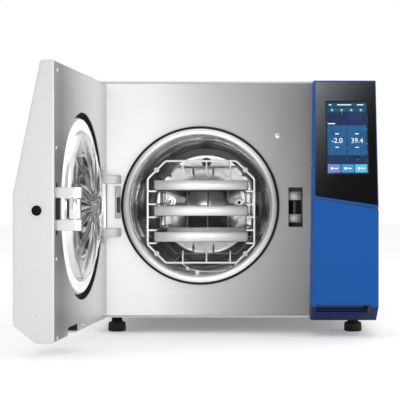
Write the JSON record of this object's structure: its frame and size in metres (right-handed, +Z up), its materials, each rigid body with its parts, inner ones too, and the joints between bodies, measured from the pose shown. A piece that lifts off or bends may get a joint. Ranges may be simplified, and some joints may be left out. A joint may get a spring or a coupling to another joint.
{
  "type": "benchtop autoclave",
  "caption": "Benchtop steam autoclave: side-hinged door with domed closure, round chamber with a wire rack of trays, and a control column with a touch screen.",
  "frame": {"origin": "on the table surface, under the centre of the whole object's box with the door open at its stop", "axes": "+X to the operator's right, +Y from the front panel to the back, +Z up"},
  "size_m": [0.5726, 1.0008, 0.4499],
  "materials": {
    "cover_paint": "fine textured paint",
    "panel_steel": "vertically brushed",
    "mirror_steel": "mirror polished stainless",
    "satin_steel": "satin",
    "zinc_steel": "zinc plated sheet",
    "door_plastic": "fine moulded texture",
    "grey_plastic": "moulded",
    "white_plastic": "moulded",
    "blue_plastic": "satin gloss",
    "black_gloss": "high gloss",
    "black_plastic": "moulded",
    "rubber": "ribbed",
    "silicone": "smooth silicone",
    "brass": "machined",
    "aluminium": "cast and machined",
    "circuit_board": "solder mask",
    "insulation": "felted",
    "screen_glass": "glossy cover glass"
  },
  "bodies": {
    "cabinet": {"base_pan": "zinc_steel", "outer_cover": "cover_paint", "front_panel": "panel_steel", "rear_panel": "zinc_steel", "foot_front_left": "rubber", "foot_front_right": "rubber", "foot_rear_left": "rubber", "foot_rear_right": "rubber", "chamber_vessel": "mirror_steel", "chamber_flange": "satin_steel", "chamber_trim_ring": "rubber", "insulation_jacket": "insulation", "front_bulkhead": "zinc_steel", "steam_inlet_port": "satin_steel", "temperature_probe": "mirror_steel", "drain_strainer": "satin_steel", "water_tank": "white_plastic", "steam_generator": "satin_steel", "vacuum_pump": "aluminium", "pump_motor": "black_plastic", "condenser": "aluminium", "valve_manifold": "brass", "control_board": "circuit_board", "power_supply": "aluminium", "fan_frame": "black_plastic", "power_inlet": "black_plastic", "safety_valve": "brass", "drain_coupling": "brass", "air_filter": "white_plastic", "hinge_arm_upper": "satin_steel", "hinge_arm_lower": "satin_steel", "hinge_pin": "mirror_steel", "door_sensor": "grey_plastic", "panel_plug": "mirror_steel", "lock_receiver": "zinc_steel", "lock_buffer": "rubber", "lock_spindle": "mirror_steel", "lock_motor": "black_plastic", "column_shell": "blue_plastic", "fascia": "black_gloss", "touch_screen": "screen_glass", "drain_ports": "brass"},
    "door": {"door_shell": "door_plastic", "door_inner_panel": "panel_steel", "closure_disc": "mirror_steel", "door_seal": "silicone", "closure_crossbar": "zinc_steel", "hinge_barrel": "satin_steel", "latch_clevis": "satin_steel", "latch_pin": "mirror_steel"},
    "latch_roller": {"latch_roller": "mirror_steel"},
    "lock_hook": {"lock_hook": "satin_steel"},
    "rack": {"rack": "satin_steel"},
    "tray_lower": {"tray_lower": "satin_steel"},
    "tray_middle": {"tray_middle": "satin_steel"},
    "tray_upper": {"tray_upper": "satin_steel"},
    "fan_rotor": {"fan_rotor": "black_plastic"},
    "tank_lid": {"tank_lid": "grey_plastic"},
    "power_switch": {"power_switch": "black_gloss"},
    "service_cover": {"service_cover": "blue_plastic"}
  },
  "joints": [
    {"name": "door_hinge", "type": "hinge", "parent": "cabinet", "child": "door", "pos_m": [-0.1937, -0.1386, 0.2225], "axis": [0, 0, -1], "range_deg": [-95.5, 0]},
    {"name": "latch_roller_spin", "type": "hinge", "parent": "door", "child": "latch_roller", "pos_m": [-0.19748, -0.48041, 0.2225], "axis": [0, 0, 1], "continuous": true},
    {"name": "lock_hook_turn", "type": "hinge", "parent": "cabinet", "child": "lock_hook", "pos_m": [0.1719, -0.0916, 0.2225], "axis": [0, 0, 1], "range_deg": [-35, 0]},
    {"name": "rack_slide", "type": "slide", "parent": "cabinet", "child": "rack", "axis": [0, -1, 0], "range_m": [0, 0.33]},
    {"name": "tray_lower_slide", "type": "slide", "parent": "rack", "child": "tray_lower", "axis": [0, -1, 0], "range_m": [0, 0.25]},
    {"name": "tray_middle_slide", "type": "slide", "parent": "rack", "child": "tray_middle", "axis": [0, -1, 0], "range_m": [0, 0.25]},
    {"name": "tray_upper_slide", "type": "slide", "parent": "rack", "child": "tray_upper", "axis": [0, -1, 0], "range_m": [0, 0.25]},
    {"name": "fan_spin", "type": "hinge", "parent": "cabinet", "child": "fan_rotor", "pos_m": [0.1893, 0.4661, 0.33], "axis": [0, 1, 0], "continuous": true},
    {"name": "tank_lid_hinge", "type": "hinge", "parent": "cabinet", "child": "tank_lid", "pos_m": [0.0393, 0.4324, 0.4447], "axis": [-1, 0, 0], "range_deg": [0, 92]},
    {"name": "power_switch_rock", "type": "hinge", "parent": "cabinet", "child": "power_switch", "pos_m": [0.1853, 0.4799, 0.078], "axis": [1, 0, 0], "range_deg": [0, 8]},
    {"name": "service_cover_pull", "type": "slide", "parent": "cabinet", "child": "service_cover", "axis": [0, -1, 0], "range_m": [0, 0.06]}
  ]
}
